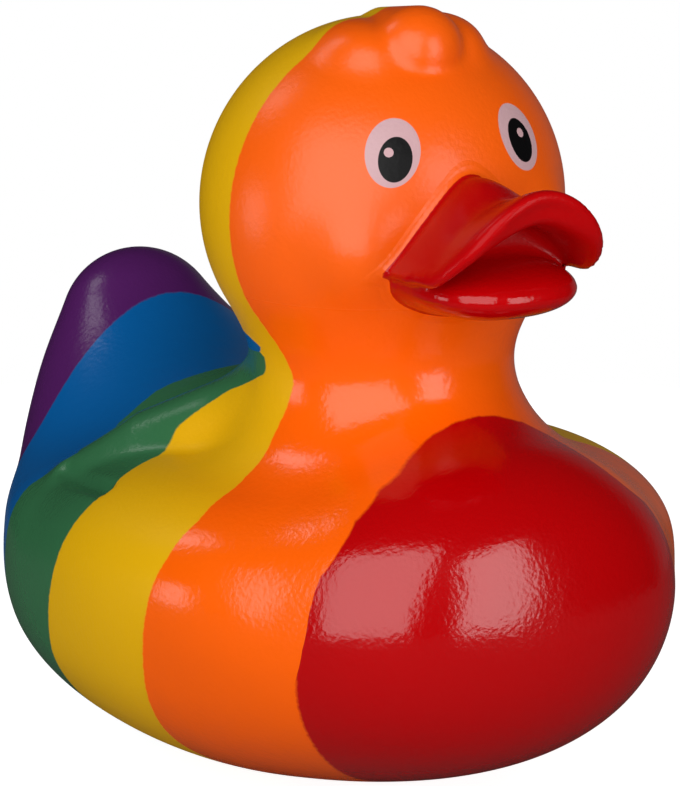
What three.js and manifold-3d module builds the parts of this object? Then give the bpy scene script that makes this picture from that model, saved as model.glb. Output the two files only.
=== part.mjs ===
// Rubber duck: a hollow bath toy moulded in one piece, with a small vent hole in its flat base.
// Millimetres, +Z up. The duck looks along -Y, and its two sides are alike about X = 0.

import * as THREE from 'three';
import { mergeVertices } from 'three/addons/utils/BufferGeometryUtils.js';
import Module from 'manifold-3d';

// Moulding
const WALL = 2.0;
const VENT_DIAMETER = 3.0;

// Hull, the boat-shaped lower body
const HULL_WIDTH = 61.8;
const HULL_LENGTH = 76.0;
const HULL_DEPTH = 34.8;
const HULL_SQUARENESS = 2.15;
const HULL_SETBACK = -3.35;
const BASE_CUT = 0.8;
const BASE_EDGE_ROUNDING = 0.3;

// Breast, which leads the hull
const BREAST_WIDTH = 45.4;
const BREAST_LENGTH = 35.4;
const BREAST_HEIGHT = 32.0;
const BREAST_BLUNTNESS = 2.4;
const BREAST_LEAD = 5.4;
const BREAST_RISE = 6.6;
const BREAST_BLEND = 8.0;

// Back, between the neck and the tail
const BACK_WIDTH = 28.2;
const BACK_LENGTH = 63.9;
const BACK_HEIGHT = 18.1;
const BACK_SETBACK = 14.8;
const BACK_RISE = 11.5;
const BACK_BLEND = 8.0;

// Flanks, a long swelling below each wing
const FLANK_WIDTH = 25.6;
const FLANK_LENGTH = 56.7;
const FLANK_HEIGHT = 13.5;
const FLANK_SPACING = 30.9;
const FLANK_SETBACK = 2.3;
const FLANK_RISE = 6.3;
const FLANK_BLEND = 6.0;

// Shoulders, a swelling on each side behind the breast
const SHOULDER_WIDTH = 16.4;
const SHOULDER_LENGTH = 31.0;
const SHOULDER_HEIGHT = 13.4;
const SHOULDER_SPACING = 41.6;
const SHOULDER_LEAD = 10.65;
const SHOULDER_RISE = 8.0;
const SHOULDER_BLEND = 9.0;

// Tail, a broad wedge that rises behind the hull
const TAIL_ROOT_RADIUS = 14.3;
const TAIL_TIP_RADIUS = 6.8;
const TAIL_SPREAD = 1.14;
const TAIL_ROOT_SETBACK = 33.0;
const TAIL_ROOT_RISE = 0.4;
const TAIL_TIP_SETBACK = 41.3;
const TAIL_TIP_RISE = 21.8;
const TAIL_BLEND = 12.1;

// Wings, a low roll along each side of the back
const WING_ROOT_RADIUS = 5.6;
const WING_ELBOW_RADIUS = 4.3;
const WING_TIP_RADIUS = 2.9;
const WING_ROOT_SPACING = 15.0;
const WING_ELBOW_SPACING = 31.2;
const WING_TIP_SPACING = 41.6;
const WING_ROOT_LEAD = 2.65;
const WING_ELBOW_SETBACK = 7.35;
const WING_TIP_SETBACK = 13.75;
const WING_ROOT_RISE = 20.0;
const WING_ELBOW_RISE = 15.3;
const WING_TIP_RISE = 10.8;
const WING_BLEND = 2.2;

// Neck and head
const NECK_FOOT_RADIUS = 17.2;
const NECK_TOP_RADIUS = 9.1;
const NECK_LEAD = 13.45;
const NECK_FOOT_RISE = 10.5;
const NECK_LENGTH = 28.0;
const NECK_LEAN = 2.75;
const NECK_BLEND = 4.8;
const HEAD_WIDTH = 37.6;
const HEAD_LENGTH = 34.5;
const HEAD_HEIGHT = 37.4;
const HEAD_LEAD = 1.5;
const HEAD_RISE = 5.0;
const HEAD_BLEND = 5.0;

// Tuft, a rounded curl that leans over the forehead, with a lower swelling on each side
const TUFT_FRONT_RADIUS = 4.2;
const TUFT_BACK_RADIUS = 2.3;
const TUFT_SPREAD = 1.05;
const TUFT_LEAD = 6.85;
const TUFT_SINK = 2.2;
const TUFT_LENGTH = 6.9;
const TUFT_BACK_LIFT = 0.8;
const SIDE_CURL = [6.0, 8.6, 4.8];
const SIDE_CURL_SPACING = 9.6;
const SIDE_CURL_LEAD = 3.85;
const SIDE_CURL_SINK = 2.3;
const SIDE_CURL_BLEND = 3.0;

// Cheeks, a small swelling behind each corner of the bill
const CHEEK = [6.4, 7.0, 7.2];
const CHEEK_SPACING = 19.2;
const CHEEK_LEAD = 11.7;
const CHEEK_DROP = 1.8;
const CHEEK_BLEND = 4.0;

// Upper bill, an arch that is pointed at the root and flares at the lip
const BILL_LENGTH = 16.2;
const BILL_WIDTH = 20.4;
const BILL_WAIST = 0.6;
const BILL_FLARE = 1.0;
const BILL_ROOT_HEIGHT = 13.6;
const BILL_SADDLE = 4.4;
const BILL_LIP_CURL = 2.2;
const BILL_CORNER_DROP = 4.0;
const BILL_ROOT_SINK = 2.1;
const BILL_PLAN_SQUARENESS = 3.5;
const BILL_RIDGE_SOFTNESS = 2.83;
const BILL_ROOT_POWER = 0.9;
const BILL_ARCH_POWER = 1.6;
const MOUTH_ARCH_POWER = 1.6;
const POINT_ENDS_AT = 0.74;
const SADDLE_STARTS_AT = 0.06;
const SADDLE_ENDS_AT = 0.59;
const FLARE_STARTS_AT = 0.52;
const FLARE_ENDS_AT = 1.02;
const LIP_ROUNDING = 1.2;
const LIP_LIFT = 1.5;
const LIP_UNDERCUT = 0.7;
const UNDERCUT_ENDS_AT = 2.2;
const UNDERSIDE_ROUNDING = 1.2;
const UNDERSIDE_FLARE = 3.6;
const MOUTH_WIDTH = 16.0;
const MOUTH_FLARE = 1.0;
const MOUTH_HEIGHT = 6.1;
const MOUTH_LIFT = 0.9;
const MOUTH_BELL = 3.0;
const MOUTH_RIDGE_SOFTNESS = 0.7;
const MOUTH_DEPTH = 10.2;
const MOUTH_ROUNDING = 1.2;
const BILL_BLEND = 0.7;

// Lower bill and chin
const LOWER_WIDTH = 16.2;
const LOWER_LENGTH = 18.6;
const LOWER_HEIGHT = 6.2;
const LOWER_SQUARENESS = 2.5;
const LOWER_LEAD = 4.4;
const LOWER_DROP = 0.8;
const CHIN = [16.6, 15.6, 9.0];
const CHIN_DROP = 0.2;

// Facets of the body, the hollow inside it, the tuft and the bill
const BODY_FACET = 3.0;
const HOLLOW_FACET = 5.4;
const TUFT_FACET = 1.7;
const BILL_FACET = 1.0;

// Rounds of evening out the nets, fewer where the bill has thin edges
const EVENING_PASSES = 3;
const BILL_EVENING_PASSES = 1;

// Places, worked out from the sizes above
const hullCentre = [0, HULL_SETBACK, HULL_DEPTH / 2 - BASE_CUT];
const hullFront = HULL_SETBACK - HULL_LENGTH / 2;
const breastCentre = [0, hullFront - BREAST_LEAD + BREAST_LENGTH / 2, hullCentre[2] + BREAST_RISE];
const backCentre = [0, HULL_SETBACK + BACK_SETBACK, hullCentre[2] + BACK_RISE];
const flankCentre = [FLANK_SPACING / 2, HULL_SETBACK + FLANK_SETBACK, hullCentre[2] + FLANK_RISE];
const tailRoot = [0, HULL_SETBACK + TAIL_ROOT_SETBACK, hullCentre[2] + TAIL_ROOT_RISE];
const tailTip = [0, HULL_SETBACK + TAIL_TIP_SETBACK, hullCentre[2] + TAIL_TIP_RISE];
const shoulderCentre = [
  SHOULDER_SPACING / 2,
  HULL_SETBACK - SHOULDER_LEAD,
  hullCentre[2] + SHOULDER_RISE,
];
const wingRoot = [WING_ROOT_SPACING / 2, HULL_SETBACK - WING_ROOT_LEAD, hullCentre[2] + WING_ROOT_RISE];
const wingElbow = [
  WING_ELBOW_SPACING / 2,
  HULL_SETBACK + WING_ELBOW_SETBACK,
  hullCentre[2] + WING_ELBOW_RISE,
];
const wingTip = [WING_TIP_SPACING / 2, HULL_SETBACK + WING_TIP_SETBACK, hullCentre[2] + WING_TIP_RISE];
const neckFoot = [0, HULL_SETBACK - NECK_LEAD, hullCentre[2] + NECK_FOOT_RISE];
const neckTop = [0, neckFoot[1] + NECK_LEAN, neckFoot[2] + NECK_LENGTH];
const headCentre = [0, neckTop[1] - HEAD_LEAD, neckTop[2] + HEAD_RISE];
const headFront = headCentre[1] - HEAD_LENGTH / 2;
const crown = headCentre[2] + HEAD_HEIGHT / 2;
const tuftFront = [0, headCentre[1] - TUFT_LEAD, crown - TUFT_SINK];
const tuftBack = [0, tuftFront[1] + TUFT_LENGTH, tuftFront[2] + TUFT_BACK_LIFT];
const sideCurlCentre = [
  SIDE_CURL_SPACING / 2,
  headCentre[1] - SIDE_CURL_LEAD,
  crown - SIDE_CURL_SINK,
];
const cheekCentre = [CHEEK_SPACING / 2, headCentre[1] - CHEEK_LEAD, headCentre[2] - CHEEK_DROP];
const billRoot = headFront + BILL_ROOT_SINK;
const billCorner = headCentre[2] - BILL_CORNER_DROP;
const lowerCentre = [0, billRoot - LOWER_LEAD, billCorner - LOWER_DROP];
const chinCentre = [0, billRoot, billCorner - CHIN_DROP];

// Boxes that hold the body, the tuft and the bill
const bodyBox = {
  low: [-HULL_WIDTH / 2, breastCentre[1] - BREAST_LENGTH / 2, 0],
  high: [HULL_WIDTH / 2, tailTip[1] + TAIL_TIP_RADIUS, crown],
};
const tuftHalfWidth = TUFT_FRONT_RADIUS * TUFT_SPREAD;
const tuftBox = {
  low: [-tuftHalfWidth, tuftFront[1] - TUFT_FRONT_RADIUS, tuftFront[2] - TUFT_FRONT_RADIUS],
  high: [tuftHalfWidth, tuftBack[1] + TUFT_BACK_RADIUS, tuftFront[2] + TUFT_FRONT_RADIUS],
};
const billBox = {
  low: [-(BILL_WIDTH + BILL_FLARE) / 2, billRoot - BILL_LENGTH, billCorner - CHIN_DROP - CHIN[2] / 2],
  high: [(BILL_WIDTH + BILL_FLARE) / 2, billRoot + CHIN[1] / 2, billCorner + BILL_ROOT_HEIGHT],
};

// Distance functions: negative inside, positive outside, about 1 per millimetre near the surface

function half(size) {
  return size.map((s) => s / 2);
}

function ellipsoid(p, centre, size) {
  const r = half(size);
  const q = p.map((v, i) => (v - centre[i]) / r[i]);
  const reach = Math.hypot(...q);
  const slope = Math.hypot(q[0] / r[0], q[1] / r[1], q[2] / r[2]);
  return (reach * (reach - 1)) / Math.max(slope, 1e-6);
}

// An ellipsoid whose section through two of its axes is squarer, and round about the third
function squaredEllipsoid(p, centre, size, power, third) {
  const r = half(size);
  const q = p.map((v, i) => Math.abs((v - centre[i]) / r[i]) + 1e-6);
  const pair = [0, 1, 2].filter((i) => i !== third);
  const ring = pair.reduce((sum, i) => sum + q[i] ** power, 0);
  const reach = Math.sqrt(ring ** (2 / power) + q[third] ** 2);
  const slopes = pair.map((i) => (ring ** (2 / power - 1) * q[i] ** (power - 1)) / r[i]);
  return (reach - 1) / Math.max(Math.hypot(...slopes, q[third] / r[third]) / reach, 1e-6);
}

// An ellipsoid that is round across Y and blunter at its two Y ends
function bluntEllipsoid(p, centre, size, power) {
  const r = half(size);
  const q = p.map((v, i) => Math.abs((v - centre[i]) / r[i]) + 1e-6);
  const ring = q[0] ** 2 + q[2] ** 2;
  const total = ring ** (power / 2) + q[1] ** power;
  const reach = total ** (1 / power);
  const across = ring ** (power / 2 - 1);
  const slope = Math.hypot((across * q[0]) / r[0], (across * q[2]) / r[2], q[1] ** (power - 1) / r[1]);
  return (reach - 1) / Math.max(slope * total ** (1 / power - 1), 1e-6);
}

// A round cone between two balls, spread in X
function roundCone(p, from, to, fromRadius, toRadius, spread = 1) {
  const q = [(p[0] - from[0]) / spread, p[1] - from[1], p[2] - from[2]];
  const line = [(to[0] - from[0]) / spread, to[1] - from[1], to[2] - from[2]];
  const length = Math.hypot(...line);
  const along = (q[0] * line[0] + q[1] * line[1] + q[2] * line[2]) / length;
  const beside = Math.sqrt(Math.max(q[0] ** 2 + q[1] ** 2 + q[2] ** 2 - along ** 2, 0));
  const taper = (fromRadius - toRadius) / length;
  const lean = taper / Math.sqrt(1 - taper ** 2);
  const share = THREE.MathUtils.clamp((along - beside * lean) / length, 0, 1);
  const e = q.map((v, i) => v - line[i] * share);
  const reach = Math.hypot(...e);
  const slope = Math.hypot(e[0] / spread, e[1], e[2]) / Math.max(reach, 1e-6);
  return (reach - fromRadius - (toRadius - fromRadius) * share) / Math.max(slope, 0.4);
}

// An arch over the Y axis with a softened ridge, and upright sides below its springing line
function arch(x, z, halfWidth, height, power, softness) {
  const u = Math.hypot(x, softness) / halfWidth;
  const v = Math.max(z, 0) / height + 1e-6;
  const reach = (u ** power + v ** power) ** (1 / power);
  const slopeX = (u / reach) ** (power - 1) / halfWidth;
  const slopeZ = (v / reach) ** (power - 1) / height;
  return (reach - 1) / Math.hypot(slopeX, slopeZ);
}

function join(a, b, blend) {
  const h = Math.max(blend - Math.abs(a - b), 0) / blend;
  return Math.min(a, b) - (h * h * blend) / 4;
}

function cut(a, b, blend) {
  return -join(-a, b, blend);
}

function meet(a, b, blend) {
  return -join(-a, -b, blend);
}

// A point's twin on the +X side
function mirrored(p) {
  return [Math.abs(p[0]), p[1], p[2]];
}

// Main forms

// The body, neck and head, with the tuft's side curls
function body(p) {
  const m = mirrored(p);
  let d = squaredEllipsoid(p, hullCentre, [HULL_WIDTH, HULL_LENGTH, HULL_DEPTH], HULL_SQUARENESS, 2);
  const breastSize = [BREAST_WIDTH, BREAST_LENGTH, BREAST_HEIGHT];
  d = join(d, bluntEllipsoid(p, breastCentre, breastSize, BREAST_BLUNTNESS), BREAST_BLEND);
  d = join(d, ellipsoid(p, backCentre, [BACK_WIDTH, BACK_LENGTH, BACK_HEIGHT]), BACK_BLEND);
  d = join(d, ellipsoid(m, flankCentre, [FLANK_WIDTH, FLANK_LENGTH, FLANK_HEIGHT]), FLANK_BLEND);
  const shoulderSize = [SHOULDER_WIDTH, SHOULDER_LENGTH, SHOULDER_HEIGHT];
  d = join(d, ellipsoid(m, shoulderCentre, shoulderSize), SHOULDER_BLEND);
  const tail = roundCone(p, tailRoot, tailTip, TAIL_ROOT_RADIUS, TAIL_TIP_RADIUS, TAIL_SPREAD);
  d = join(d, tail, TAIL_BLEND);
  d = join(d, wing(m), WING_BLEND);
  d = join(d, roundCone(p, neckFoot, neckTop, NECK_FOOT_RADIUS, NECK_TOP_RADIUS), NECK_BLEND);
  d = join(d, ellipsoid(p, headCentre, [HEAD_WIDTH, HEAD_LENGTH, HEAD_HEIGHT]), HEAD_BLEND);
  d = join(d, ellipsoid(m, cheekCentre, CHEEK), CHEEK_BLEND);
  d = join(d, ellipsoid(m, sideCurlCentre, SIDE_CURL), SIDE_CURL_BLEND);
  return meet(d, -p[2], BASE_EDGE_ROUNDING);
}

function wing(m) {
  const upper = roundCone(m, wingRoot, wingElbow, WING_ROOT_RADIUS, WING_ELBOW_RADIUS);
  const lower = roundCone(m, wingElbow, wingTip, WING_ELBOW_RADIUS, WING_TIP_RADIUS);
  return Math.min(upper, lower);
}

function tuft(p) {
  return roundCone(p, tuftFront, tuftBack, TUFT_FRONT_RADIUS, TUFT_BACK_RADIUS, TUFT_SPREAD);
}

function upperBill(m) {
  const x = m[0];
  const z = m[2];
  const forward = billRoot - m[1];
  const along = forward / BILL_LENGTH;
  const settle = THREE.MathUtils.smoothstep(along, 0, POINT_ENDS_AT);
  const saddle = THREE.MathUtils.smoothstep(along, SADDLE_STARTS_AT, SADDLE_ENDS_AT);
  const flare = THREE.MathUtils.smoothstep(along, FLARE_STARTS_AT, FLARE_ENDS_AT);
  const height = BILL_ROOT_HEIGHT - BILL_SADDLE * saddle + BILL_LIP_CURL * flare;
  const halfWidth = (BILL_WIDTH - BILL_WAIST * saddle + BILL_FLARE * flare) / 2;
  const power = THREE.MathUtils.lerp(BILL_ROOT_POWER, BILL_ARCH_POWER, settle);
  const rise = z - billCorner;
  const outside = arch(x, rise, halfWidth, height, power, BILL_RIDGE_SOFTNESS);
  const lipHalf = (BILL_WIDTH - BILL_WAIST + BILL_FLARE) / 2;
  const plan = Math.hypot(
    (x / lipHalf) ** (BILL_PLAN_SQUARENESS / 2),
    Math.max(along, 0) ** (BILL_PLAN_SQUARENESS / 2),
  );
  const undercut = LIP_UNDERCUT * THREE.MathUtils.smoothstep(-outside, 0, UNDERCUT_ENDS_AT);
  const lip = ((plan + 1e-9) ** (2 / BILL_PLAN_SQUARENESS) - 1) * lipHalf + undercut;
  const bell = THREE.MathUtils.smoothstep(lip, -MOUTH_BELL, MOUTH_BELL / 5);
  const mouthHalf = (MOUTH_WIDTH + MOUTH_FLARE * bell) / 2;
  const mouthHeight = MOUTH_HEIGHT + MOUTH_LIFT * bell;
  const hollow = arch(x, rise, mouthHalf, mouthHeight, MOUTH_ARCH_POWER, MOUTH_RIDGE_SOFTNESS);
  const mouth = meet(hollow, BILL_LENGTH - MOUTH_DEPTH - forward, MOUTH_ROUNDING);
  const underside = LIP_LIFT * flare - rise;
  let d = meet(outside, lip, LIP_ROUNDING);
  d = cut(d, mouth, MOUTH_ROUNDING);
  d = meet(d, underside, UNDERSIDE_ROUNDING + UNDERSIDE_FLARE * flare);
  return meet(d, -forward - BILL_ROOT_SINK, MOUTH_ROUNDING);
}

function lowerBill(m) {
  const size = [LOWER_WIDTH, LOWER_LENGTH, LOWER_HEIGHT];
  const lower = squaredEllipsoid(m, lowerCentre, size, LOWER_SQUARENESS, 2);
  return join(lower, ellipsoid(m, chinCentre, CHIN), BILL_BLEND);
}

function bill(p) {
  const m = mirrored(p);
  return join(upperBill(m), lowerBill(m), BILL_BLEND);
}

// The hollow inside the body, one wall thickness further in
function hollow(p) {
  return body(p) + WALL;
}

// Surfaces

function gradient(field, p) {
  const h = 0.01;
  return [0, 1, 2].map((i) => {
    const ahead = [...p];
    const behind = [...p];
    ahead[i] += h;
    behind[i] -= h;
    return (field(ahead) - field(behind)) / (2 * h);
  });
}

function settleOn(field, p) {
  for (let pass = 0; pass < 6; pass += 1) {
    const g = gradient(field, p);
    const pull = field(p) / Math.max(g[0] ** 2 + g[1] ** 2 + g[2] ** 2, 0.05);
    p = p.map((v, i) => v - g[i] * THREE.MathUtils.clamp(pull, -1, 1));
  }
  return p;
}

// Cells of room round the box that a net is made in, and the corner numbers of a cell
const GRID_MARGIN = 2;
const CELL_CORNERS = [0, 1, 2, 3, 4, 5, 6, 7];

// A closed net of facets on a field's surface: one corner for each patch of surface in a grid
// cell, and one four-sided face round each grid edge that the surface crosses
function surfaceNet(field, box, step) {
  const size = box.high.map((v, i) => Math.ceil((v - box.low[i]) / step) + 1 + 2 * GRID_MARGIN);
  const low = box.high.map((v, i) => (v + box.low[i] - (size[i] - 1) * step) / 2);
  const stride = [1, size[0], size[0] * size[1]];
  const points = [];
  const values = [];
  for (let k = 0; k < size[2]; k += 1) {
    for (let j = 0; j < size[1]; j += 1) {
      for (let i = 0; i < size[0]; i += 1) {
        const p = [low[0] + i * step, low[1] + j * step, low[2] + k * step];
        points.push(p);
        values.push(field(p));
      }
    }
  }
  const corners = new Map();
  const vertices = [];
  const cornerOf = (cell, insideNode) => {
    const nodes = CELL_CORNERS.map((n) => cell + stride.reduce((sum, s, i) => sum + s * ((n >> i) & 1), 0));
    const isIn = nodes.map((n) => values[n] < 0);
    const patch = joinedCorners(nodes.indexOf(insideNode), isIn);
    const key = cell * CELL_CORNERS.length + Math.min(...patch);
    if (!corners.has(key)) {
      corners.set(key, vertices.length);
      vertices.push(patchMiddle(patch, nodes, isIn, points, values));
    }
    return corners.get(key);
  };
  const faces = [];
  for (let k = 1; k < size[2] - 1; k += 1) {
    for (let j = 1; j < size[1] - 1; j += 1) {
      for (let i = 1; i < size[0] - 1; i += 1) {
        const node = i + j * stride[1] + k * stride[2];
        for (let axis = 0; axis < 3; axis += 1) {
          const inHere = values[node] < 0;
          if (inHere === values[node + stride[axis]] < 0) continue;
          const b = stride[(axis + 1) % 3];
          const c = stride[(axis + 2) % 3];
          const insideNode = inHere ? node : node + stride[axis];
          const cells = [node, node - b, node - b - c, node - c];
          const ring = cells.map((cell) => cornerOf(cell, insideNode));
          faces.push(inHere ? ring : ring.reverse());
        }
      }
    }
  }
  return { vertices, faces };
}

// The inside corners of a cell that are joined to a first one along the cell's edges
function joinedCorners(first, isIn) {
  const found = [first];
  for (const corner of found) {
    const beside = [corner ^ 1, corner ^ 2, corner ^ 4];
    found.push(...beside.filter((n) => isIn[n] && !found.includes(n)));
  }
  return found;
}

// The middle of the places where the surface crosses the cell's edges round a patch's corners
function patchMiddle(patch, nodes, isIn, points, values) {
  const sum = [0, 0, 0];
  let count = 0;
  for (const corner of patch) {
    for (const other of [corner ^ 1, corner ^ 2, corner ^ 4].filter((n) => !isIn[n])) {
      const start = nodes[corner];
      const end = nodes[other];
      const t = values[start] / (values[start] - values[end]);
      points[start].forEach((v, i) => {
        sum[i] += v + (points[end][i] - v) * t;
      });
      count += 1;
    }
  }
  return sum.map((v) => v / count);
}

// Evens out the net, and keeps it on the surface
function relax(net, field, passes) {
  let { vertices } = net;
  for (let pass = 0; pass < passes; pass += 1) {
    const sums = vertices.map(() => [0, 0, 0, 0]);
    for (const ring of net.faces) {
      ring.forEach((a, n) => {
        const b = ring[(n + 1) % 4];
        vertices[b].forEach((v, i) => {
          sums[a][i] += v;
        });
        sums[a][3] += 1;
      });
    }
    vertices = vertices.map((p, n) => {
      const mean = sums[n].slice(0, 3).map((v) => v / sums[n][3]);
      return settleOn(field, p.map((v, i) => v + (mean[i] - v) * 0.5));
    });
  }
  return { vertices, faces: net.faces };
}

// Splits each four-sided face along its shorter diagonal
function triangles({ vertices, faces }) {
  const apart = (a, b) => Math.hypot(...vertices[a].map((v, i) => v - vertices[b][i]));
  return faces.flatMap(([a, b, c, d]) =>
    apart(a, c) < apart(b, d) ? [a, b, c, a, c, d] : [a, b, d, b, c, d],
  );
}

function netGeometry(field, box, step, passes) {
  const net = relax(surfaceNet(field, box, step), field, passes);
  const geometry = new THREE.BufferGeometry();
  geometry.setAttribute('position', new THREE.Float32BufferAttribute(net.vertices.flat(), 3));
  geometry.setIndex(triangles(net));
  return geometry;
}

// Solids

const wasm = await Module();
wasm.setup();

function toSolid(geometry) {
  const vertProperties = new Float32Array(geometry.attributes.position.array);
  const triVerts = new Uint32Array(geometry.index.array);
  return new wasm.Manifold(new wasm.Mesh({ numProp: 3, vertProperties, triVerts }));
}

function toGeometry(solid) {
  const mesh = solid.getMesh();
  const geometry = new THREE.BufferGeometry();
  geometry.setAttribute('position', new THREE.BufferAttribute(mesh.vertProperties, 3));
  geometry.setIndex(new THREE.BufferAttribute(mesh.triVerts, 1));
  geometry.computeVertexNormals();
  return geometry;
}

// A rod through the base wall, at the middle of the hull
function ventRod() {
  const length = WALL * 6;
  const rod = new THREE.CylinderGeometry(VENT_DIAMETER / 2, VENT_DIAMETER / 2, length, 16);
  rod.rotateX(Math.PI / 2);
  rod.translate(0, HULL_SETBACK, 0);
  rod.deleteAttribute('normal');
  rod.deleteAttribute('uv');
  return mergeVertices(rod);
}

const bodySolid = toSolid(netGeometry(body, bodyBox, BODY_FACET, EVENING_PASSES));
const tuftSolid = toSolid(netGeometry(tuft, tuftBox, TUFT_FACET, EVENING_PASSES));
const billSolid = toSolid(netGeometry(bill, billBox, BILL_FACET, BILL_EVENING_PASSES));
const hollowSolid = toSolid(netGeometry(hollow, bodyBox, HOLLOW_FACET, EVENING_PASSES));
const outside = bodySolid.add(tuftSolid).add(billSolid);
const shell = outside.subtract(hollowSolid).subtract(toSolid(ventRod()));

// Yellow vinyl is the base colour under the paint
const vinyl = new THREE.MeshStandardMaterial({ color: 0xd4a500, roughness: 0.35, metalness: 0 });
const duckShell = new THREE.Mesh(toGeometry(shell), vinyl);
duckShell.name = 'duck_shell';

const rubberDuck = new THREE.Group();
rubberDuck.add(duckShell);

export default rubberDuck;
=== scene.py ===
"""Rubber duck: a hollow vinyl bath toy with sprayed rainbow bands, a red bill and printed eyes.

The duck's form is worked out in millimetres as a distance function: +Z up, looking along -Y,
alike about X = 0. Objects are placed in metres.
"""

import math

import bpy
import mathutils
import numpy as np
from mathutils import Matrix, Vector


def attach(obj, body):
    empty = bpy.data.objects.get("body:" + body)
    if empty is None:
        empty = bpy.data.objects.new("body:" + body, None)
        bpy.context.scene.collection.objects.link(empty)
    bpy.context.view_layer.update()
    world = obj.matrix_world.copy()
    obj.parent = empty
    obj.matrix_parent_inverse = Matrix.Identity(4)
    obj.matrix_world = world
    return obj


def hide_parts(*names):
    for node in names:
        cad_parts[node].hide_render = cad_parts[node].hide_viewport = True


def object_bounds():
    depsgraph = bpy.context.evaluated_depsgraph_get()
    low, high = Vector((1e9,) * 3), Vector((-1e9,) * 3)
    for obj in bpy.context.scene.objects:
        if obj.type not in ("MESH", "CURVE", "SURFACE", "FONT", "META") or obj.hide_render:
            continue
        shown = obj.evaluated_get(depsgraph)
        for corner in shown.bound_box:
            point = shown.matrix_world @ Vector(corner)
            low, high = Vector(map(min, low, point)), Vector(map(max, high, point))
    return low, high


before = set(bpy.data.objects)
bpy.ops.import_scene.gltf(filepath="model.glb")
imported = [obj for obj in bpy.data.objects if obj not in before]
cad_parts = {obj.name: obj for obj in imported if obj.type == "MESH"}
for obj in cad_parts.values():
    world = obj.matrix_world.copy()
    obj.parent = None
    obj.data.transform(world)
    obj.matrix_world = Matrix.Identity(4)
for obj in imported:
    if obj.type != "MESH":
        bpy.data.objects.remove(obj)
CAD_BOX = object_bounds()

MM = 0.001

# Hull, the boat-shaped lower body
HULL_SIZE = (61.8, 76.0, 34.8)
HULL_SQUARENESS = 2.15
HULL_CENTRE = (0.0, -3.35, 16.6)

# Breast, which leads the hull
BREAST_SIZE = (45.4, 35.4, 32.0)
BREAST_BLUNTNESS = 2.4
BREAST_CENTRE = (0.0, -29.05, 23.2)
BREAST_BLEND = 8.0

# Back and flanks
BACK_SIZE = (28.2, 63.9, 18.1)
BACK_CENTRE = (0.0, 11.45, 28.1)
BACK_BLEND = 8.0
FLANK_SIZE = (25.6, 56.7, 13.5)
FLANK_CENTRE = (15.45, -1.05, 22.9)
FLANK_BLEND = 6.0

# Shoulders, a swelling on each side of the breast
SHOULDER_SIZE = (16.4, 31.0, 13.4)
SHOULDER_CENTRE = (20.8, -14.0, 24.6)
SHOULDER_BLEND = 9.0

# Tail
TAIL_ROOT = (0.0, 29.65, 17.0)
TAIL_TIP = (0.0, 37.95, 38.4)
TAIL_RADII = (14.3, 6.8)
TAIL_SPREAD = 1.14
TAIL_BLEND = 12.1

# Wings
WING_SHOULDER = (7.5, -6.0, 36.6)
WING_ELBOW = (15.6, 4.0, 31.9)
WING_TIP = (20.8, 10.4, 27.4)
WING_RADII = (5.6, 4.3, 2.9)
WING_BLEND = 2.2
CREASE_FRONT = (26.0, -4.2, 30.9)
CREASE_BACK = (23.8, 9.8, 29.8)
CREASE_SAG = 0.4
CREASE_RADIUS = 0.7
CREASE_BLEND = 1.2

# Neck and head
NECK_FOOT = (0.0, -16.8, 27.1)
NECK_TOP = (0.0, -14.05, 55.1)
NECK_RADII = (17.2, 9.1)
NECK_BLEND = 4.8
HEAD_SIZE = (37.6, 34.5, 37.4)
HEAD_CENTRE = (0.0, -15.55, 60.1)
HEAD_BLEND = 5.0

# Tuft of three moulded curls
TUFT_FRONT = (0.0, -22.4, 76.6)
TUFT_BACK = (0.0, -15.5, 77.4)
TUFT_RADII = (4.2, 2.3)
TUFT_SPREAD = 1.05
SIDE_CURL_SIZE = (6.0, 8.6, 4.8)
SIDE_CURL_CENTRE = (4.8, -19.4, 76.5)
SIDE_BLEND = 3.0
TUFT_BLEND = 0.8

# Cheeks
CHEEK_SIZE = (6.4, 7.0, 7.2)
CHEEK_CENTRE = (9.6, -27.25, 58.3)
CHEEK_BLEND = 4.0

# Upper bill: an arch that is pointed at the root and flares at the lip
BILL_ROOT = -30.7
BILL_CORNER = 56.1
BILL_LENGTH = 16.2
BILL_WIDTH = 20.4
BILL_WAIST = 0.6
BILL_FLARE = 1.0
BILL_ROOT_HEIGHT = 13.6
BILL_SADDLE = 4.4
BILL_LIP_CURL = 2.2
BILL_PLAN_SQUARENESS = 3.5
BILL_ROOT_SINK = 2.1
BILL_ROOT_POWER = 0.9
BILL_RIDGE_SOFTNESS = 2.83
MOUTH_RIDGE_SOFTNESS = 0.7
LIP_UNDERCUT = 0.7
UNDERCUT_ENDS_AT = 2.2
BILL_ARCH_POWER = 1.6
MOUTH_ARCH_POWER = 1.6
POINT_ENDS_AT = 0.74
SADDLE_STARTS_AT = 0.06
SADDLE_ENDS_AT = 0.59
FLARE_STARTS_AT = 0.52
FLARE_ENDS_AT = 1.02
LIP_ROUNDING = 1.2
LIP_LIFT = 1.5
UNDERSIDE_ROUNDING = 1.2
UNDERSIDE_FLARE = 3.6
MOUTH_WIDTH = 16.0
MOUTH_FLARE = 1.0
BELL_DEPTH = 3.0
BELL_ENDS_AT = 0.6
MOUTH_HEIGHT = 6.1
MOUTH_LIFT = 0.9
MOUTH_DEPTH = 10.2
MOUTH_ROUNDING = 1.2
BILL_BLEND = 0.7

# Lower bill and chin
LOWER_SIZE = (16.2, 18.6, 6.2)
LOWER_SQUARENESS = 2.5
LOWER_CENTRE = (0.0, -35.1, 55.3)
CHIN_SIZE = (16.6, 15.6, 9.0)
CHIN_CENTRE = (0.0, -30.7, 55.9)

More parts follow.
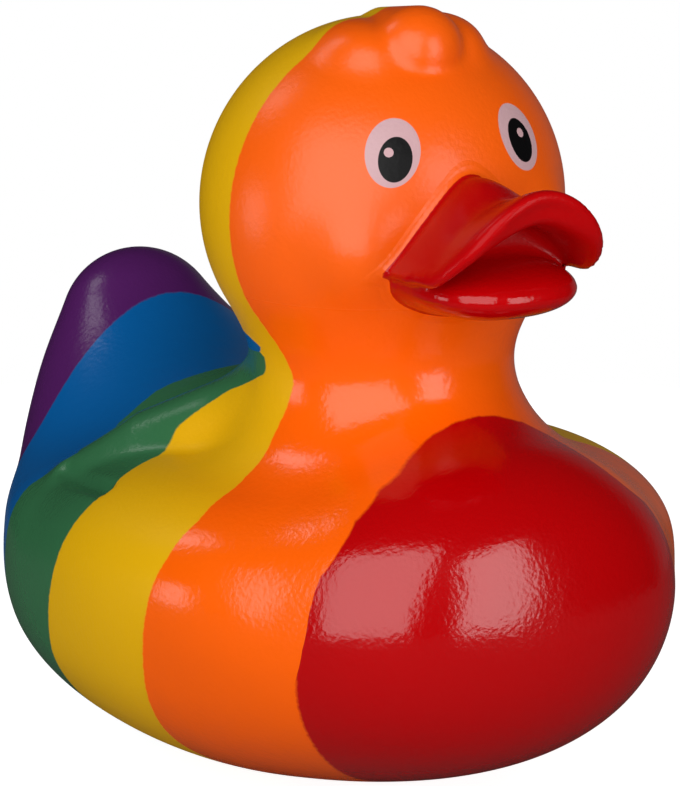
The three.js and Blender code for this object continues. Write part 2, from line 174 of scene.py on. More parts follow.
# Base
BASE_EDGE_ROUNDING = 0.5
VENT_RADIUS = 1.5
VENT_CENTRE = (0.0, -3.35)
VENT_DEPTH = 2.0
VENT_EDGE_ROUNDING = 0.3

# Mesh
GRID_STEP = 0.53
GRID_BLOCK = 8
GRID_MARGIN = 1.5
FAR = 99.0
# How many times too short a distance may be, away from the surface
DISTANCE_ERROR = 1.6
LEAST_CONE_SLOPE = 0.4
LEAST_SLOPE_SQUARED = 0.05
SLOPE_STEP = 0.01
EVENING_PASSES = 3
SETTLING_PASSES = 2

# Paint borders: the Y of each edge at some heights, from the breast to the tail
ORANGE_TO_YELLOW = (
    (0.0, -14.5), (6.4, -15.6), (11.3, -17.3), (18.6, -19.6), (22.5, -20.8), (28.0, -22.1),
    (31.5, -22.0), (34.5, -19.4), (38.5, -19.0), (44.0, -19.8), (48.5, -18.3), (52.0, -17.6),
    (85.0, -17.3),
)
YELLOW_TO_GREEN = (
    (0.0, 0.2), (12.8, -0.3), (19.2, -1.7), (25.1, -3.5), (30.5, -5.2), (31.8, -4.6), (33.3, -2.0),
    (35.6, -1.9), (37.8, -3.7), (39.9, -6.2), (42.1, -11.5), (43.8, -15.5), (46.0, -15.5),
    (48.5, 8.0), (85.0, 8.0),
)
GREEN_TO_BLUE = (
    (0.0, 15.6), (26.5, 15.2), (29.2, 12.4), (31.0, 10.0), (32.2, 13.6), (35.4, 14.4),
    (37.3, 12.5), (42.0, 6.0), (44.5, -2.0), (45.8, -15.5), (47.0, -15.5), (48.5, 9.0),
    (85.0, 9.0),
)
BLUE_TO_VIOLET = ((0.0, 28.0), (28.0, 29.0), (41.0, 30.3), (85.0, 30.9))
BORDER_RAGGEDNESS = 0.3
BORDER_SOFTNESS = 0.25
BORDER_NOISE_SCALE = 1.6
BORDER_NOISE_DETAIL = 3.0

# Red patch on the breast, sprayed from the front: the Z of its upper edge at some X, and the oval
# that bounds it below
PATCH_TOP = (
    (-22.0, 15.0), (-21.9, 20.3), (-20.9, 26.4), (-19.7, 28.8), (-17.4, 31.6), (-15.4, 33.7),
    (-12.0, 36.1), (-7.8, 38.0), (-3.8, 39.7), (-0.8, 40.5), (1.8, 40.7), (4.4, 40.4), (7.8, 39.2),
    (10.8, 37.5), (12.7, 35.6), (15.0, 33.4), (17.9, 31.1), (19.4, 28.5), (20.4, 24.0), (20.7, 18.0),
    (20.8, 15.0),
)
PATCH_CENTRE = (-0.6, 20.0)
PATCH_HALF_WIDTH = 21.3
PATCH_DROP = 17.4
PATCH_BACK = -27.5
PATCH_RAGGEDNESS = 0.12
PATCH_SOFTNESS = 0.15
# The same two for the oval, as shares of its size
OVAL_RAGGEDNESS = 0.012
OVAL_SOFTNESS = 0.01

# Printed eyes: centre, lean about the face's normal in degrees, pupil and glint offsets
EYES = (
    {"centre": (-7.2, -29.7, 68.05), "lean": 12.0, "pupil": (0.35, -0.65), "glint": (-0.4, -0.1)},
    {"centre": (7.4, -29.5, 68.25), "lean": 0.5, "pupil": (0.0, -0.4), "glint": (0.3, 0.3)},
)
EYE_HALF_WIDTH = 2.72
EYE_HALF_HEIGHT = 3.5
PUPIL_HALF_WIDTH = 1.68
PUPIL_HALF_HEIGHT = 2.28
GLINT_RADIUS = 0.48
PRINT_DEPTH = 3.0
PRINT_DEPTH_SOFTNESS = 0.1
PRINT_SOFTNESS = 0.02

# Relief in the vinyl: waves, leathery grain, and the moulded step round the bill's root
WAVE_SCALE = 0.55
WAVE_DEPTH = 0.03
GRAIN_SCALE = 2.2
GRAIN_DEPTH = 0.025
ROOT_STEP_PLACE = -0.85
ROOT_STEP_WIDTH = 0.3
ROOT_STEP_DEPTH = 0.06


# Distance functions: negative inside, positive outside, about 1 per millimetre near the surface

def ellipsoid(p, centre, size):
    r = np.array(size) / 2
    q = (p - np.array(centre)) / r
    reach = np.linalg.norm(q, axis=1)
    slope = np.linalg.norm(q / r, axis=1)
    return reach * (reach - 1) / np.maximum(slope, 1e-6)


def flat_squared_ellipsoid(p, centre, size, power):
    """An ellipsoid whose plan is squarer, and which is round from top to bottom."""
    r = np.array(size) / 2
    q = np.abs((p - np.array(centre)) / r) + 1e-6
    ring = q[:, 0] ** power + q[:, 1] ** power
    reach = np.sqrt(ring ** (2 / power) + q[:, 2] ** 2)
    across = ring ** (2 / power - 1)
    slope_x = across * q[:, 0] ** (power - 1) / r[0]
    slope_y = across * q[:, 1] ** (power - 1) / r[1]
    slope_z = q[:, 2] / r[2]
    slope = np.sqrt(slope_x ** 2 + slope_y ** 2 + slope_z ** 2) / reach
    return (reach - 1) / np.maximum(slope, 1e-6)


def blunt_ellipsoid(p, centre, size, power):
    """An ellipsoid that is round across Y and blunter at its two Y ends."""
    r = np.array(size) / 2
    q = np.abs((p - np.array(centre)) / r) + 1e-6
    ring = q[:, 0] ** 2 + q[:, 2] ** 2
    total = ring ** (power / 2) + q[:, 1] ** power
    reach = total ** (1 / power)
    across = ring ** (power / 2 - 1)
    slope_x = across * q[:, 0] / r[0]
    slope_y = q[:, 1] ** (power - 1) / r[1]
    slope_z = across * q[:, 2] / r[2]
    slope = np.sqrt(slope_x ** 2 + slope_y ** 2 + slope_z ** 2) * total ** (1 / power - 1)
    return (reach - 1) / np.maximum(slope, 1e-6)


def round_cone(p, start, end, radii, spread=1.0):
    """A round cone between two balls, spread in X."""
    squeeze = np.array((1 / spread, 1.0, 1.0))
    q = (p - np.array(start)) * squeeze
    line = (np.array(end) - np.array(start)) * squeeze
    length = np.linalg.norm(line)
    along = q @ (line / length)
    beside = np.sqrt(np.maximum((q ** 2).sum(axis=1) - along ** 2, 0))
    taper = (radii[0] - radii[1]) / length
    lean = taper / math.sqrt(1 - taper ** 2)
    share = np.clip((along - beside * lean) / length, 0, 1)
    e = q - share[:, None] * line
    reach = np.linalg.norm(e, axis=1)
    slope = np.linalg.norm(e * squeeze, axis=1) / np.maximum(reach, 1e-6)
    return (reach - radii[0] - (radii[1] - radii[0]) * share) / np.maximum(slope, LEAST_CONE_SLOPE)


def arch(x, z, half_width, height, power, softness):
    """An arch over the Y axis with upright sides below its springing line."""
    u = np.hypot(x, softness) / half_width
    v = np.maximum(z, 0) / height + 1e-6
    reach = (u ** power + v ** power) ** (1 / power)
    slope_x = (u / reach) ** (power - 1) / half_width
    slope_z = (v / reach) ** (power - 1) / height
    return (reach - 1) / np.hypot(slope_x, slope_z)


def join(a, b, blend):
    h = np.maximum(blend - np.abs(a - b), 0) / blend
    return np.minimum(a, b) - h * h * blend / 4


def meet(a, b, blend):
    return -join(-a, -b, blend)


def cut(a, b, blend):
    return -join(-a, b, blend)


def smoothstep(v, start, end):
    t = np.clip((v - start) / (end - start), 0, 1)
    return t * t * (3 - 2 * t)


def mirrored(p):
    """The points' twins on the +X side."""
    return np.column_stack((np.abs(p[:, 0]), p[:, 1], p[:, 2]))


# Main forms

def wing_crease(m):
    """A shallow groove that sags in the middle, under the rounded end of the wing."""
    start = np.array(CREASE_FRONT)
    line = np.array(CREASE_BACK) - start
    share = np.clip((m - start) @ line / (line @ line), 0, 1)
    path = start + share[:, None] * line
    path[:, 2] -= CREASE_SAG * 4 * share * (1 - share)
    return np.linalg.norm(m - path, axis=1) - CREASE_RADIUS


def wing(m):
    upper = round_cone(m, WING_SHOULDER, WING_ELBOW, WING_RADII[:2])
    lower = round_cone(m, WING_ELBOW, WING_TIP, WING_RADII[1:])
    return np.minimum(upper, lower)


def body(p):
    m = mirrored(p)
    d = flat_squared_ellipsoid(p, HULL_CENTRE, HULL_SIZE, HULL_SQUARENESS)
    d = join(d, blunt_ellipsoid(p, BREAST_CENTRE, BREAST_SIZE, BREAST_BLUNTNESS), BREAST_BLEND)
    d = join(d, ellipsoid(p, BACK_CENTRE, BACK_SIZE), BACK_BLEND)
    d = join(d, ellipsoid(m, FLANK_CENTRE, FLANK_SIZE), FLANK_BLEND)
    d = join(d, ellipsoid(m, SHOULDER_CENTRE, SHOULDER_SIZE), SHOULDER_BLEND)
    d = join(d, round_cone(p, TAIL_ROOT, TAIL_TIP, TAIL_RADII, TAIL_SPREAD), TAIL_BLEND)
    d = join(d, wing(m), WING_BLEND)
    d = join(d, round_cone(p, NECK_FOOT, NECK_TOP, NECK_RADII), NECK_BLEND)
    d = join(d, ellipsoid(p, HEAD_CENTRE, HEAD_SIZE), HEAD_BLEND)
    d = join(d, ellipsoid(m, CHEEK_CENTRE, CHEEK_SIZE), CHEEK_BLEND)
    d = join(d, ellipsoid(m, SIDE_CURL_CENTRE, SIDE_CURL_SIZE), SIDE_BLEND)
    return cut(d, wing_crease(m), CREASE_BLEND)


def tuft(p):
    return round_cone(p, TUFT_FRONT, TUFT_BACK, TUFT_RADII, TUFT_SPREAD)


def upper_bill(m):
    x = m[:, 0]
    z = m[:, 2]
    forward = BILL_ROOT - m[:, 1]
    along = forward / BILL_LENGTH
    settle = smoothstep(along, 0, POINT_ENDS_AT)
    saddle = smoothstep(along, SADDLE_STARTS_AT, SADDLE_ENDS_AT)
    flare = smoothstep(along, FLARE_STARTS_AT, FLARE_ENDS_AT)
    height = BILL_ROOT_HEIGHT - BILL_SADDLE * saddle + BILL_LIP_CURL * flare
    half_width = (BILL_WIDTH - BILL_WAIST * saddle + BILL_FLARE * flare) / 2
    power = BILL_ROOT_POWER + (BILL_ARCH_POWER - BILL_ROOT_POWER) * settle
    outside = arch(x, z - BILL_CORNER, half_width, height, power, BILL_RIDGE_SOFTNESS)
    lip_half = (BILL_WIDTH - BILL_WAIST + BILL_FLARE) / 2
    plan = (x / lip_half) ** BILL_PLAN_SQUARENESS + np.maximum(along, 0) ** BILL_PLAN_SQUARENESS
    undercut = LIP_UNDERCUT * smoothstep(-outside, 0, UNDERCUT_ENDS_AT)
    lip = ((plan + 1e-9) ** (1 / BILL_PLAN_SQUARENESS) - 1) * lip_half + undercut
    bell = smoothstep(lip, -BELL_DEPTH, BELL_ENDS_AT)
    mouth_half = (MOUTH_WIDTH + MOUTH_FLARE * bell) / 2
    mouth_height = MOUTH_HEIGHT + MOUTH_LIFT * bell
    hollow = arch(
        x, z - BILL_CORNER, mouth_half, mouth_height, MOUTH_ARCH_POWER, MOUTH_RIDGE_SOFTNESS
    )
    mouth = meet(hollow, BILL_LENGTH - MOUTH_DEPTH - forward, MOUTH_ROUNDING)
    underside = BILL_CORNER + LIP_LIFT * flare - z
    d = meet(outside, lip, LIP_ROUNDING)
    d = cut(d, mouth, MOUTH_ROUNDING)
    d = meet(d, underside, UNDERSIDE_ROUNDING + UNDERSIDE_FLARE * flare)
    return meet(d, -forward - BILL_ROOT_SINK, MOUTH_ROUNDING)


def lower_bill(m):
    d = flat_squared_ellipsoid(m, LOWER_CENTRE, LOWER_SIZE, LOWER_SQUARENESS)
    return join(d, ellipsoid(m, CHIN_CENTRE, CHIN_SIZE), BILL_BLEND)


def bill(p):
    m = mirrored(p)
    return join(upper_bill(m), lower_bill(m), BILL_BLEND)


def vent(p):
    """The small hole in the base, with its blind end inside the wall."""
    radial = np.hypot(p[:, 0] - VENT_CENTRE[0], p[:, 1] - VENT_CENTRE[1]) - VENT_RADIUS
    return np.maximum(radial, p[:, 2] - VENT_DEPTH)


def duck(p):
    """The whole outside of the duck."""
    d = join(body(p), tuft(p), TUFT_BLEND)
    d = join(d, bill(p), BILL_BLEND)
    d = meet(d, -p[:, 2], BASE_EDGE_ROUNDING)
    return cut(d, vent(p), VENT_EDGE_ROUNDING)


# Surface

def grid_values(low, size):
    """The duck's distance at each grid point near its surface, and a far value elsewhere."""
    values = np.full(size, FAR)
    half_block = GRID_BLOCK * GRID_STEP / 2
    reach = half_block * math.sqrt(3) * DISTANCE_ERROR + GRID_STEP
    blocks = [np.arange(0, n, GRID_BLOCK) for n in size]
    corners = np.stack(np.meshgrid(*blocks, indexing="ij"), axis=-1).reshape(-1, 3)
    middles = low + corners * GRID_STEP + half_block
    distance = duck(middles)
    within = np.meshgrid(*[np.arange(GRID_BLOCK)] * 3, indexing="ij")
    offsets = np.stack(within, axis=-1).reshape(-1, 3)
    near = corners[np.abs(distance) < reach]
    nodes = (near[:, None, :] + offsets).reshape(-1, 3)
    nodes = nodes[(nodes < np.array(size)).all(axis=1)]
    values[tuple(nodes.T)] = duck(low + nodes * GRID_STEP)
    for corner in corners[distance <= -reach]:
        x, y, z = corner
        values[x:x + GRID_BLOCK, y:y + GRID_BLOCK, z:z + GRID_BLOCK] = -FAR
    return values


def surface_net(values, low):
    """One corner in each grid cell that the surface crosses, and a four-sided face round each
    grid edge that it crosses."""
    inside = values < 0
    size = np.array(values.shape)
    cells = size - 1
    total = np.zeros((*cells, 3))
    count = np.zeros(cells, int)
    grid = np.stack(np.meshgrid(*[np.arange(n) for n in size], indexing="ij"), axis=-1)
    edges = []
    for axis in range(3):
        step = np.eye(3, dtype=int)[axis]
        b, c = np.eye(3, dtype=int)[[(axis + 1) % 3, (axis + 2) % 3]]
        here = tuple(slice(0, n - s) for n, s in zip(size, step))
        there = tuple(slice(s, n) for n, s in zip(size, step))
        starts = grid[here][inside[here] != inside[there]]
        ends = starts + step
        t = values[tuple(starts.T)] / (values[tuple(starts.T)] - values[tuple(ends.T)])
        crossing = starts + t[:, None] * step
        ring = [starts, starts - b, starts - b - c, starts - c]
        for cell in ring:
            np.add.at(total, tuple(cell.T), crossing)
            np.add.at(count, tuple(cell.T), 1)
        edges.append((ring, inside[tuple(starts.T)]))
    used = count > 0
    number = np.full(cells, -1)
    number[used] = np.arange(used.sum())
    points = low + total[used] / count[used][:, None] * GRID_STEP
    faces = []
    for ring, outward in edges:
        quads = np.stack([number[tuple(cell.T)] for cell in ring], axis=1)
        quads[~outward] = quads[~outward][:, ::-1]
        faces.append(quads)
    return points, np.concatenate(faces)


def slope_at(p):
    steps = np.eye(3) * SLOPE_STEP
    return np.stack([(duck(p + s) - duck(p - s)) / (2 * SLOPE_STEP) for s in steps], axis=1)


def settle_on_surface(p):
    for _ in range(SETTLING_PASSES):
        g = slope_at(p)
        pull = duck(p) / np.maximum((g ** 2).sum(axis=1), LEAST_SLOPE_SQUARED)
        p = p - g * np.clip(pull, -GRID_STEP, GRID_STEP)[:, None]
    return p


def even_out(points, faces):
    """Moves each point halfway to the middle of its neighbours."""
    total = np.zeros_like(points)
    count = np.zeros(len(points))
    for n in range(4):
        a = faces[:, n]
        b = faces[:, (n + 1) % 4]
        np.add.at(total, a, points[b])
        np.add.at(count, a, 1)
    return (points + total / count[:, None]) / 2


def duck_mesh():
    low = np.array(CAD_BOX[0]) / MM - GRID_MARGIN
    high = np.array(CAD_BOX[1]) / MM + GRID_MARGIN
    size = np.ceil((high - low) / GRID_STEP).astype(int) + 1
    points, faces = surface_net(grid_values(low, size), low)
    for _ in range(EVENING_PASSES):
        points = settle_on_surface(even_out(points, faces))
    points = settle_on_surface(points)
    mesh = bpy.data.meshes.new("painted_duck")
    mesh.from_pydata((points * MM).tolist(), [], faces.tolist())
    mesh.polygons.foreach_set("use_smooth", [True] * len(faces))
    add_attribute(mesh, "bill_share", body_to_bill(points))
    return mesh


def body_to_bill(points):
    """How much nearer the bill's own form is than the rest: positive on the red bill."""
    rest = join(body(points), tuft(points), TUFT_BLEND)
    return rest - bill(points)


def add_attribute(mesh, name, values):
    layer = mesh.attributes.new(name, "FLOAT", "POINT")
    layer.data.foreach_set("value", values.astype(np.float32))


# Materials

# Millimetres that a border's line covers, half of them below zero
CURVE_RANGE = 180.0


class Nodes:
    """A short hand for building a material's nodes."""

    def __init__(self, material):
        self.tree = material.node_tree
        self.tree.nodes.clear()

    def add(self, kind, **settings):
        node = self.tree.nodes.new(kind)
        for key, value in settings.items():
            setattr(node, key, value)
        return node

    def link(self, source, target):
        self.tree.links.new(source, target)

    def feed(self, socket, value):
        if isinstance(value, bpy.types.NodeSocket):
            self.link(value, socket)
        else:
            socket.default_value = value

    def math(self, operation, *values):
        node = self.add("ShaderNodeMath", operation=operation)
        for socket, value in zip(node.inputs, values):
            self.feed(socket, value)
        return node.outputs[0]

    def step(self, value, edge, softness):
        """0 below the edge and 1 above it, over a soft width."""
        node = self.add("ShaderNodeMapRange", clamp=True)
        self.feed(node.inputs["Value"], value)
        self.feed(node.inputs["From Min"], edge - softness / 2)
        self.feed(node.inputs["From Max"], edge + softness / 2)
        return node.outputs[0]

    def curve(self, value, points):
        """The level at a value, read off a line through (value, level) points."""
        node = self.add("ShaderNodeFloatCurve")
        line = node.mapping.curves[0]
        places = [(0.5 + at / CURVE_RANGE, 0.5 + level / CURVE_RANGE) for at, level in points]
        for place in places[2:]:
            line.points.new(*place)
        for point, place in zip(line.points, places):
            point.location = place
            point.handle_type = "VECTOR"
        node.mapping.update()
        share = self.math("ADD", self.math("DIVIDE", value, CURVE_RANGE), 0.5)
        self.feed(node.inputs["Value"], share)
        return self.math("MULTIPLY", self.math("SUBTRACT", node.outputs[0], 0.5), CURVE_RANGE)

    def blend(self, factor, below, above):
        """A number between two others, by the mix node's sockets for numbers."""
        node = self.add("ShaderNodeMix", data_type="FLOAT")
        self.feed(node.inputs[0], factor)
        self.feed(node.inputs[2], below)
        self.feed(node.inputs[3], above)
        return node.outputs[0]

    def mix(self, factor, below, above):
        """A colour between two others, by the mix node's sockets for colours."""
        node = self.add("ShaderNodeMix", data_type="RGBA")
        self.feed(node.inputs[0], factor)
        self.feed(node.inputs[6], below)
        self.feed(node.inputs[7], above)
        return node.outputs[2]

    def noise(self, vector, scale, detail=2.0):
        node = self.add("ShaderNodeTexNoise")
        self.link(vector, node.inputs["Vector"])
        node.inputs["Scale"].default_value = scale
        node.inputs["Detail"].default_value = detail
        return node.outputs[0]


def linear(r, g, b):
    """A colour given as 0 to 255 screen values."""
    def one(v):
        v = v / 255
        return v / 12.92 if v <= 0.04045 else ((v + 0.055) / 1.055) ** 2.4
    return (one(r), one(g), one(b), 1.0)


# Each paint: its colour, its roughness and its gloss
RED = (linear(182, 0, 4), 0.14, 0.65)
BILL_RED = linear(188, 2, 6)
ORANGE = (linear(255, 98, 0), 0.17, 0.5)
YELLOW = (linear(228, 174, 0), 0.42, 0.15)
GREEN = (linear(52, 111, 71), 0.25, 0.4)
BLUE = (linear(0, 94, 164), 0.25, 0.4)
VIOLET = (linear(84, 28, 98), 0.25, 0.5)
EYE_WHITE = (linear(208, 168, 172), 0.3, 0.3)
PUPIL_BLACK = (linear(12, 11, 12), 0.35, 0.2)
BANDS = (
    (ORANGE_TO_YELLOW, YELLOW),
    (YELLOW_TO_GREEN, GREEN),
    (GREEN_TO_BLUE, BLUE),
    (BLUE_TO_VIOLET, VIOLET),
)

# The head is duller than the body
HEAD_FROM = 50.0
HEAD_SOFTNESS = 8.0
HEAD_ROUGHNESS = 0.3
HEAD_GLOSS = 0.5

# The lower bill shines, and the upper bill is dull: the first number is the lower one's
BILL_BORDER_SOFTNESS = 0.12
BILL_DULL_FROM = 57.6
BILL_DULL_SOFTNESS = 2.0
BILL_ROUGHNESS = (0.12, 0.26)
BILL_GLOSS = (0.5, 0.14)


def face_axes(centre, lean):
    """The normal, sideways and upward directions of the head's surface at a point."""
    normal = slope_at(np.array([centre]))[0]
    normal /= np.linalg.norm(normal)
    up = np.array((0.0, 0.0, 1.0)) - normal * normal[2]
    up /= np.linalg.norm(up)
    side = np.cross(up, normal)
    angle = math.radians(lean)
    leaned = up * math.cos(angle) + side * math.sin(angle)
    return normal, np.cross(leaned, normal), leaned


def oval(nodes, x, y, centre, half_width, half_height):
    """A value under 1 inside an oval."""
    u = nodes.math("DIVIDE", nodes.math("SUBTRACT", x, centre[0]), half_width)
    v = nodes.math("DIVIDE", nodes.math("SUBTRACT", y, centre[1]), half_height)
    squares = nodes.math("ADD", nodes.math("MULTIPLY", u, u), nodes.math("MULTIPLY", v, v))
    return nodes.math("SQRT", squares)


def along_direction(nodes, position, centre, towards):
    """How far the position lies from the centre along a direction, in millimetres."""
    offset = nodes.add("ShaderNodeVectorMath", operation="SUBTRACT")
    nodes.link(position, offset.inputs[0])
    offset.inputs[1].default_value = centre
    dot = nodes.add("ShaderNodeVectorMath", operation="DOT_PRODUCT")
    nodes.link(offset.outputs[0], dot.inputs[0])
    dot.inputs[1].default_value = towards
    return dot.outputs["Value"]


def print_eye(nodes, coat, position, eye):
    normal, side, up = face_axes(eye["centre"], eye["lean"])
    x = along_direction(nodes, position, eye["centre"], side)
    y = along_direction(nodes, position, eye["centre"], up)
    depth = along_direction(nodes, position, eye["centre"], normal)
    on_face = nodes.step(depth, -PRINT_DEPTH, PRINT_DEPTH_SOFTNESS)
    ovals = (
        ((0.0, 0.0), EYE_HALF_WIDTH, EYE_HALF_HEIGHT, EYE_WHITE),
        (eye["pupil"], PUPIL_HALF_WIDTH, PUPIL_HALF_HEIGHT, PUPIL_BLACK),
        (eye["glint"], GLINT_RADIUS, GLINT_RADIUS, EYE_WHITE),
    )
    for centre, half_width, half_height, paint in ovals:
        reach = oval(nodes, x, y, centre, half_width, half_height)
        inside = nodes.math("SUBTRACT", 1.0, nodes.step(reach, 1.0, PRINT_SOFTNESS))
        coat = spray(nodes, coat, nodes.math("MULTIPLY", on_face, inside), paint)
    return coat


def spray(nodes, coat, factor, paint):
    """The paint laid over the coats under it: both are a colour, a roughness and a gloss."""
    colour = nodes.mix(factor, coat[0], paint[0])
    roughness = nodes.blend(factor, coat[1], paint[1])
    gloss = nodes.blend(factor, coat[2], paint[2])
    return colour, roughness, gloss


def relief(nodes, position, bill_share):
    """The vinyl's waviness and leathery grain, and the moulded step round the bill's root."""
    layers = (
        (nodes.noise(position, WAVE_SCALE), WAVE_DEPTH),
        (nodes.noise(position, GRAIN_SCALE), GRAIN_DEPTH),
        (nodes.step(bill_share, ROOT_STEP_PLACE, ROOT_STEP_WIDTH), ROOT_STEP_DEPTH),
    )
    normal = None
    for height, depth in layers:
        bump = nodes.add("ShaderNodeBump")
        bump.inputs["Distance"].default_value = depth * MM
        nodes.link(height, bump.inputs["Height"])
        if normal:
            nodes.link(normal, bump.inputs["Normal"])
        normal = bump.outputs[0]
    return normal


def spray_bands(nodes, y, z, ragged):
    """Orange, duller on the head, and the bands that follow it towards the tail."""
    on_head = nodes.step(z, HEAD_FROM, HEAD_SOFTNESS)
    colour, roughness, gloss = ORANGE
    roughness = nodes.blend(on_head, roughness, HEAD_ROUGHNESS)
    gloss = nodes.blend(on_head, gloss, HEAD_GLOSS)
    coat = (colour, roughness, gloss)
    ragged_y = nodes.math("ADD", y, nodes.math("MULTIPLY", ragged, BORDER_RAGGEDNESS))
    for points, paint in BANDS:
        behind = nodes.math("SUBTRACT", ragged_y, nodes.curve(z, points))
        coat = spray(nodes, coat, nodes.step(behind, 0.0, BORDER_SOFTNESS), paint)
    return coat


def spray_breast(nodes, coat, x, y, z, ragged):
    """The red patch, sprayed from the front."""
    ragged_z = nodes.math("ADD", z, nodes.math("MULTIPLY", ragged, PATCH_RAGGEDNESS))
    over = nodes.math("SUBTRACT", ragged_z, nodes.curve(x, PATCH_TOP))
    over = nodes.step(over, 0.0, PATCH_SOFTNESS)
    reach = oval(nodes, x, z, PATCH_CENTRE, PATCH_HALF_WIDTH, PATCH_DROP)
    reach = nodes.math("ADD", reach, nodes.math("MULTIPLY", ragged, OVAL_RAGGEDNESS))
    is_low = nodes.math("LESS_THAN", z, PATCH_CENTRE[1])
    under = nodes.math("MULTIPLY", nodes.step(reach, 1.0, OVAL_SOFTNESS), is_low)
    in_patch = nodes.math("SUBTRACT", 1.0, nodes.math("MAXIMUM", over, under))
    in_front = nodes.math("LESS_THAN", y, PATCH_BACK)
    return spray(nodes, coat, nodes.math("MULTIPLY", in_patch, in_front), RED)


def spray_bill(nodes, coat, z, bill_share):
    upper = nodes.step(z, BILL_DULL_FROM, BILL_DULL_SOFTNESS)
    paint = (BILL_RED, nodes.blend(upper, *BILL_ROUGHNESS), nodes.blend(upper, *BILL_GLOSS))
    return spray(nodes, coat, nodes.step(bill_share, 0.0, BILL_BORDER_SOFTNESS), paint)


def painted_vinyl():
    material = bpy.data.materials.new("painted_vinyl")
    material.use_nodes = True
    nodes = Nodes(material)
    coordinates = nodes.add("ShaderNodeTexCoord")
    scale = nodes.add("ShaderNodeVectorMath", operation="SCALE")
    nodes.link(coordinates.outputs["Object"], scale.inputs[0])
    scale.inputs["Scale"].default_value = 1 / MM
    position = scale.outputs[0]
    split = nodes.add("ShaderNodeSeparateXYZ")
    nodes.link(position, split.inputs[0])
    x, y, z = split.outputs

    ragged = nodes.noise(position, BORDER_NOISE_SCALE, BORDER_NOISE_DETAIL)
    ragged = nodes.math("SUBTRACT", ragged, 0.5)
    bill_share = nodes.add("ShaderNodeAttribute", attribute_name="bill_share").outputs["Fac"]
    coat = spray_bands(nodes, y, z, ragged)
    coat = spray_breast(nodes, coat, x, y, z, ragged)
    coat = spray_bill(nodes, coat, z, bill_share)
    for eye in EYES:
        coat = print_eye(nodes, coat, position, eye)
    colour, roughness, gloss = coat

    shader = nodes.add("ShaderNodeBsdfPrincipled")
    nodes.feed(shader.inputs["Base Color"], colour)
    nodes.feed(shader.inputs["Roughness"], roughness)
    nodes.feed(shader.inputs["Specular IOR Level"], gloss)
    nodes.link(relief(nodes, position, bill_share), shader.inputs["Normal"])
    output = nodes.add("ShaderNodeOutputMaterial")
    nodes.link(shader.outputs[0], output.inputs["Surface"])
    return material


# Camera: the photograph's view, 500 mm away

IMAGE_LONG_SIDE = 786
CAMERA_AZIMUTH = -30.0
CAMERA_ELEVATION = 13.82
CAMERA_DISTANCE = 500.0
SENSOR_WIDTH = 36.0
PIXELS_PER_MM = 9.655
CAMERA_TARGET = (0.80, -5.57, 37.86)


def direction(azimuth, elevation):
    """The unit vector towards a place seen at that azimuth and elevation from the front."""
    a = math.radians(azimuth)
    e = math.radians(elevation)
    return np.array((math.sin(a) * math.cos(e), -math.cos(a) * math.cos(e), math.sin(e)))


def look_at(obj, place, target):
    obj.location = place * MM
    away = place - target
    away /= np.linalg.norm(away)
    side = np.cross((0.0, 0.0, 1.0), away)
    side /= np.linalg.norm(side)
    up = np.cross(away, side)
    turn = np.stack((side, up, away), axis=1)
    obj.rotation_euler = mathutils.Matrix(turn.tolist()).to_euler()


def add_camera():
    data = bpy.data.cameras.new("camera")
    data.sensor_width = SENSOR_WIDTH
    data.sensor_fit = "AUTO"
    data.lens = PIXELS_PER_MM * CAMERA_DISTANCE / IMAGE_LONG_SIDE * SENSOR_WIDTH
    camera = bpy.data.objects.new("camera", data)
    bpy.context.scene.collection.objects.link(camera)
    target = np.array(CAMERA_TARGET)
    place = target + direction(CAMERA_AZIMUTH, CAMERA_ELEVATION) * CAMERA_DISTANCE
    look_at(camera, place, target)
    bpy.context.scene.camera = camera


# Lights: name, azimuth, elevation, width and height in millimetres, and brightness

LIGHT_TARGET = np.array((0.0, -10.0, 35.0))
LIGHT_DISTANCE = 700
SOFTBOXES = (
    ("left_softbox", -49, 22, 840, 880, 2.2),
    ("right_softbox", 15, 9, 300, 640, 3.0),
    ("side_softbox", -109, -2, 170, 260, 2.4),
    ("back_softbox", -141, 43, 140, 200, 2.6),
)


def softbox(name, azimuth, elevation, width, height, brightness):
    """A lamp of the given size, as many times as bright as white paper."""
    data = bpy.data.lights.new(name, "AREA")
    data.shape = "RECTANGLE"
    data.size = width * MM
    data.size_y = height * MM
    data.energy = brightness * math.pi * data.size * data.size_y
    lamp = bpy.data.objects.new(name, data)
    bpy.context.scene.collection.objects.link(lamp)
    place = LIGHT_TARGET + direction(azimuth, elevation) * LIGHT_DISTANCE
    look_at(lamp, place, LIGHT_TARGET)


def add_lights():
    for lamp in SOFTBOXES:
        softbox(*lamp)


# Light that the room itself gives to dull surfaces, and what shiny ones see of it in front
ROOM_LIGHT = 0.17
ROOM_FRONT = 0.01
BACKDROP_DIRECTION = (0.776, 0.606, -0.174)
BACKDROP_EDGE = 0.87
BACKDROP_SOFTNESS = 0.16
BACKDROP_IN_SHINE = 0.1


def ray_kinds(nodes):
    """1 for what the camera sees, and 1 for what it sees in a shine or through something."""
    path = nodes.add("ShaderNodeLightPath")
    glossy = path.outputs["Is Glossy Ray"]
    through = path.outputs["Is Transmission Ray"]
    return path.outputs["Is Camera Ray"], nodes.math("MAXIMUM", glossy, through)


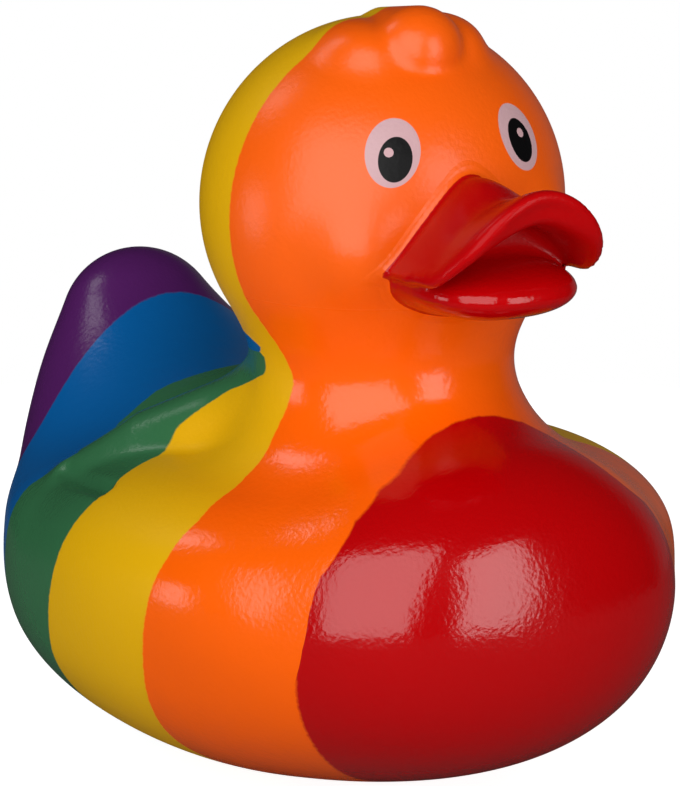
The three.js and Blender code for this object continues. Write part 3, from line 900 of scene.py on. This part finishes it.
def add_world():
    """A white studio: the backdrop is white, and the room in front of it is dark."""
    world = bpy.data.worlds.new("studio")
    bpy.context.scene.world = world
    world.use_nodes = True
    nodes = Nodes(world)
    by_camera, by_shine = ray_kinds(nodes)
    place = nodes.add("ShaderNodeTexCoord")
    behind = along_direction(nodes, place.outputs["Generated"], (0, 0, 0), BACKDROP_DIRECTION)
    on_backdrop = nodes.step(behind, BACKDROP_EDGE, BACKDROP_SOFTNESS)
    in_shine = nodes.blend(on_backdrop, ROOM_FRONT, BACKDROP_IN_SHINE)
    strength = nodes.blend(by_shine, ROOM_LIGHT, in_shine)
    strength = nodes.blend(by_camera, strength, 1.0)
    background = nodes.add("ShaderNodeBackground")
    background.inputs["Color"].default_value = (1, 1, 1, 1)
    nodes.link(strength, background.inputs["Strength"])
    output = nodes.add("ShaderNodeOutputWorld")
    nodes.link(background.outputs[0], output.inputs["Surface"])


# Floor

FLOOR_COLOUR = 0.55
FLOOR_GLOW = 0.92
FLOOR_IN_SHINE = 0.12
FLOOR_RADIUS = 0.16
FLOOR_SIDES = 64


def floor_material():
    """White to the camera, and the duck's shadow still falls on it."""
    material = bpy.data.materials.new("floor")
    material.use_nodes = True
    nodes = Nodes(material)
    by_camera, by_shine = ray_kinds(nodes)
    diffuse = nodes.add("ShaderNodeBsdfDiffuse")
    nodes.link(nodes.blend(by_shine, FLOOR_COLOUR, FLOOR_IN_SHINE), diffuse.inputs["Color"])
    glow = nodes.add("ShaderNodeEmission")
    nodes.link(nodes.math("MULTIPLY", by_camera, FLOOR_GLOW), glow.inputs["Strength"])
    both = nodes.add("ShaderNodeAddShader")
    nodes.link(diffuse.outputs[0], both.inputs[0])
    nodes.link(glow.outputs[0], both.inputs[1])
    output = nodes.add("ShaderNodeOutputMaterial")
    nodes.link(both.outputs[0], output.inputs["Surface"])
    return material


def add_floor():
    """A disc under the duck. It ends where its shadow does, and the backdrop is as white."""
    turns = [2 * math.pi * n / FLOOR_SIDES for n in range(FLOOR_SIDES)]
    rim = [(FLOOR_RADIUS * math.cos(turn), FLOOR_RADIUS * math.sin(turn), 0) for turn in turns]
    mesh = bpy.data.meshes.new("floor")
    mesh.from_pydata(rim, [], [range(FLOOR_SIDES)])
    mesh.materials.append(floor_material())
    floor = bpy.data.objects.new("floor", mesh)
    bpy.context.scene.collection.objects.link(floor)


# The duck

def add_duck():
    mesh = duck_mesh()
    mesh.materials.append(painted_vinyl())
    piece = bpy.data.objects.new("painted_duck", mesh)
    bpy.context.scene.collection.objects.link(piece)
    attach(piece, "root")
    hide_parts("duck_shell")


bpy.context.scene.view_settings.view_transform = "Standard"
add_camera()
add_world()
add_lights()
add_floor()
add_duck()
